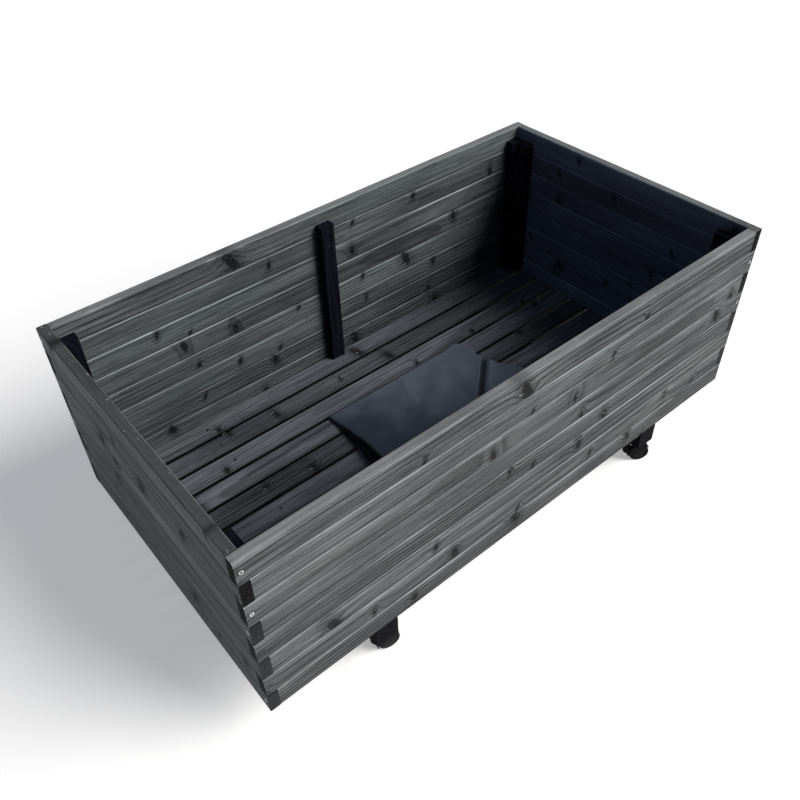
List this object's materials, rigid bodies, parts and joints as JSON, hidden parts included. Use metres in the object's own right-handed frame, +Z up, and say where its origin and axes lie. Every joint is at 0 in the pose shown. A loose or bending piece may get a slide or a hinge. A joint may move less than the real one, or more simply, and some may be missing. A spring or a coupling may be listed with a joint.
{
  "type": "rolling planter",
  "caption": "Long box of charcoal-stained boards with interlocked corners, slatted floor and loose liner, on swivelling castors.",
  "frame": {"origin": "on the ground under the middle of the box", "axes": "+X along the length to the right as seen from the front, +Y to the back, +Z up"},
  "size_m": [1.1, 0.6, 0.4614],
  "materials": {
    "stained_pine": "satin",
    "dark_stained_pine": "satin",
    "zinc_plated_steel": "satin",
    "black_nylon": "satin",
    "liner_sheet": "matte"
  },
  "bodies": {
    "planter_box": {"front_board_1": "stained_pine", "front_board_2": "stained_pine", "front_board_3": "stained_pine", "front_board_4": "stained_pine", "front_board_5": "stained_pine", "front_board_6": "stained_pine", "front_board_7": "stained_pine", "front_board_8": "stained_pine", "right_board_1": "stained_pine", "right_board_2": "stained_pine", "right_board_3": "stained_pine", "right_board_4": "stained_pine", "right_board_5": "stained_pine", "right_board_6": "stained_pine", "right_board_7": "stained_pine", "right_board_8": "stained_pine", "back_board_1": "stained_pine", "back_board_2": "stained_pine", "back_board_3": "stained_pine", "back_board_4": "stained_pine", "back_board_5": "stained_pine", "back_board_6": "stained_pine", "back_board_7": "stained_pine", "back_board_8": "stained_pine", "left_board_1": "stained_pine", "left_board_2": "stained_pine", "left_board_3": "stained_pine", "left_board_4": "stained_pine", "left_board_5": "stained_pine", "left_board_6": "stained_pine", "left_board_7": "stained_pine", "left_board_8": "stained_pine", "battens": "dark_stained_pine", "floor_slats": "stained_pine", "bearers": "dark_stained_pine", "liner": "liner_sheet", "corner_screws": "zinc_plated_steel", "batten_screws": "zinc_plated_steel", "floor_screws": "zinc_plated_steel", "castor_screws": "zinc_plated_steel", "castor_1_plate": "zinc_plated_steel", "castor_2_plate": "zinc_plated_steel", "castor_3_plate": "zinc_plated_steel", "castor_4_plate": "zinc_plated_steel"},
    "castor_1_swivel_frame": {"castor_1_housing": "black_nylon", "castor_1_axle": "zinc_plated_steel"},
    "castor_1_front_rolling": {"castor_1_front_wheel": "black_nylon"},
    "castor_1_back_rolling": {"castor_1_back_wheel": "black_nylon"},
    "castor_2_swivel_frame": {"castor_2_housing": "black_nylon", "castor_2_axle": "zinc_plated_steel"},
    "castor_2_front_rolling": {"castor_2_front_wheel": "black_nylon"},
    "castor_2_back_rolling": {"castor_2_back_wheel": "black_nylon"},
    "castor_3_swivel_frame": {"castor_3_housing": "black_nylon", "castor_3_axle": "zinc_plated_steel"},
    "castor_3_front_rolling": {"castor_3_front_wheel": "black_nylon"},
    "castor_3_back_rolling": {"castor_3_back_wheel": "black_nylon"},
    "castor_4_swivel_frame": {"castor_4_housing": "black_nylon", "castor_4_axle": "zinc_plated_steel"},
    "castor_4_front_rolling": {"castor_4_front_wheel": "black_nylon"},
    "castor_4_back_rolling": {"castor_4_back_wheel": "black_nylon"}
  },
  "joints": [
    {"name": "castor_1_swivel", "type": "hinge", "parent": "planter_box", "child": "castor_1_swivel_frame", "pos_m": [-0.33, -0.266, 0.04], "axis": [0, 0, 1], "continuous": true},
    {"name": "castor_1_front_roll", "type": "hinge", "parent": "castor_1_swivel_frame", "child": "castor_1_front_rolling", "pos_m": [-0.31326, -0.26895, 0.02], "axis": [0.1736, 0.9848, 0], "continuous": true},
    {"name": "castor_1_back_roll", "type": "hinge", "parent": "castor_1_swivel_frame", "child": "castor_1_back_rolling", "pos_m": [-0.31326, -0.26895, 0.02], "axis": [0.1736, 0.9848, 0], "continuous": true},
    {"name": "castor_2_swivel", "type": "hinge", "parent": "planter_box", "child": "castor_2_swivel_frame", "pos_m": [0.33, -0.266, 0.04], "axis": [0, 0, 1], "continuous": true},
    {"name": "castor_2_front_roll", "type": "hinge", "parent": "castor_2_swivel_frame", "child": "castor_2_front_rolling", "pos_m": [0.34442, -0.27501, 0.02], "axis": [0.5299, 0.848, 0], "continuous": true},
    {"name": "castor_2_back_roll", "type": "hinge", "parent": "castor_2_swivel_frame", "child": "castor_2_back_rolling", "pos_m": [0.34442, -0.27501, 0.02], "axis": [0.5299, 0.848, 0], "continuous": true},
    {"name": "castor_3_swivel", "type": "hinge", "parent": "planter_box", "child": "castor_3_swivel_frame", "pos_m": [0.33, 0.266, 0.04], "axis": [0, 0, 1], "continuous": true},
    {"name": "castor_3_front_roll", "type": "hinge", "parent": "castor_3_swivel_frame", "child": "castor_3_front_rolling", "pos_m": [0.34541, 0.25882, 0.02], "axis": [0.4226, 0.9063, 0], "continuous": true},
    {"name": "castor_3_back_roll", "type": "hinge", "parent": "castor_3_swivel_frame", "child": "castor_3_back_rolling", "pos_m": [0.34541, 0.25882, 0.02], "axis": [0.4226, 0.9063, 0], "continuous": true},
    {"name": "castor_4_swivel", "type": "hinge", "parent": "planter_box", "child": "castor_4_swivel_frame", "pos_m": [-0.33, 0.266, 0.04], "axis": [0, 0, 1], "continuous": true},
    {"name": "castor_4_front_roll", "type": "hinge", "parent": "castor_4_swivel_frame", "child": "castor_4_front_rolling", "pos_m": [-0.3135, 0.26189, 0.02], "axis": [0.2419, 0.9703, 0], "continuous": true},
    {"name": "castor_4_back_roll", "type": "hinge", "parent": "castor_4_swivel_frame", "child": "castor_4_back_rolling", "pos_m": [-0.3135, 0.26189, 0.02], "axis": [0.2419, 0.9703, 0], "continuous": true}
  ]
}
